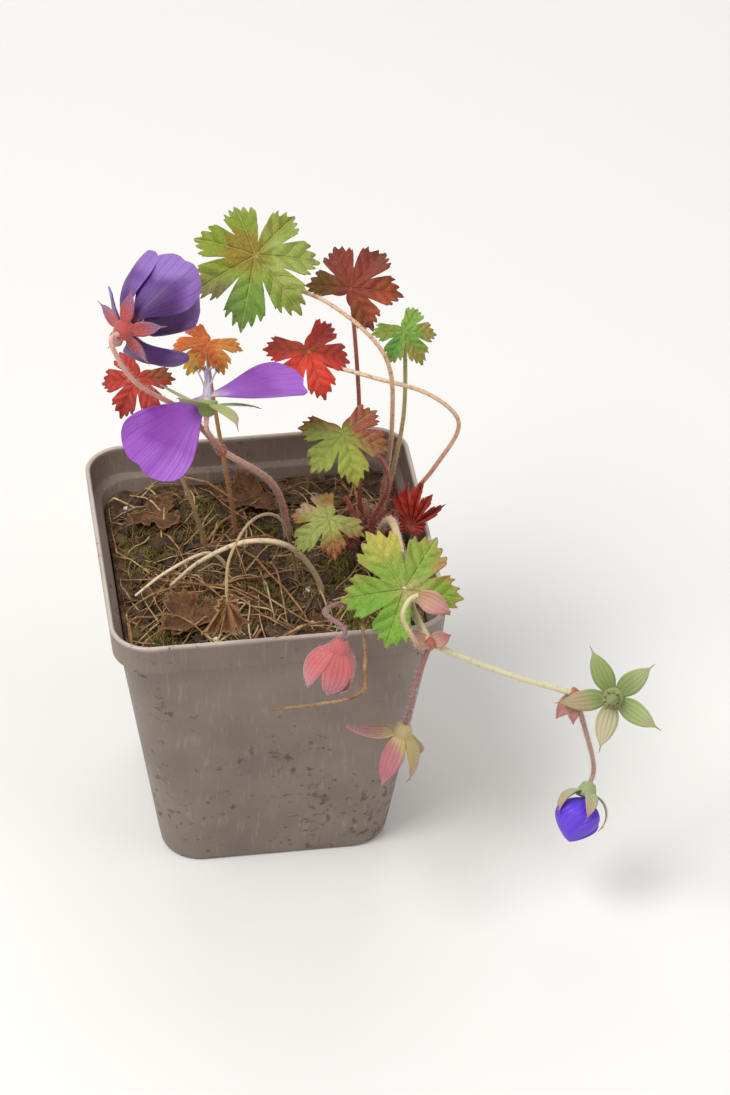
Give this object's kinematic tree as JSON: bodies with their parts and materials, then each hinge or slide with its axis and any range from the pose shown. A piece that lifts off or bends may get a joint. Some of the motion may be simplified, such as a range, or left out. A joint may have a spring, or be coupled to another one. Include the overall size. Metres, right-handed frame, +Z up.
{
  "type": "potted hardy geranium",
  "caption": "Hardy geranium in a square nursery pot: lobed green and red leaves on thin stalks, open violet flowers, and a flowering shoot that hangs over the rim.",
  "frame": {"origin": "centre of the pot's underside, on the surface that it stands on", "axes": "+Z up; -Y is the front, where the long shoot hangs over the rim; +X is to the right seen from the front"},
  "size_m": [0.14, 0.1198, 0.1758],
  "materials": {
    "pot_plastic": "thin moulded plastic, dusty",
    "potting_mix": "loose and fibrous, with moss",
    "crown": "rough, woody",
    "leaf_green": "soft, faintly glossy leaf",
    "leaf_olive": "soft, faintly glossy leaf",
    "leaf_bronze": "soft, faintly glossy leaf",
    "leaf_red": "soft, faintly glossy leaf",
    "leaf_orange": "soft, faintly glossy leaf",
    "flower_stalk": "green wood, downy",
    "calyx_red": "soft, downy",
    "petal": "satin petal",
    "stamens": "matte",
    "trailing_stem": "green wood, downy",
    "calyx_pink": "soft, downy",
    "calyx_salmon": "soft, downy",
    "calyx_green": "soft, downy",
    "bud": "satin petal, rolled",
    "dead_leaf": "dry and crumpled",
    "straw": "dry, pale"
  },
  "bodies": {
    "root": {"pot": "pot_plastic", "soil": "potting_mix", "rootstock": "crown", "leaf_green_high": "leaf_green", "leaf_bronze": "leaf_bronze", "leaf_red": "leaf_red", "leaf_orange": "leaf_orange", "leaf_scarlet_left": "leaf_red", "leaf_olive": "leaf_olive", "leaf_olive_low": "leaf_olive", "leaf_small_green": "leaf_green", "leaf_red_young": "leaf_red", "flower_stalk": "flower_stalk", "flower_side_calyx": "calyx_red", "flower_side_petals": "petal", "flower_side_centre": "stamens", "flower_low": "petal", "flower_low_centre": "stamens", "trailing_stem": "trailing_stem", "leaf_trailing": "leaf_green", "calyx_pink_upper": "calyx_pink", "calyx_pink_lower": "calyx_salmon", "calyx_star": "calyx_green", "bud_sepals": "calyx_green", "bud_petals": "bud", "dry_leaf": "dead_leaf", "dry_stalk_long": "straw", "dry_stalk_short": "straw", "litter_leaf_1": "dead_leaf", "litter_leaf_2": "dead_leaf", "litter_leaf_3": "dead_leaf"}
  },
  "joints": []
}
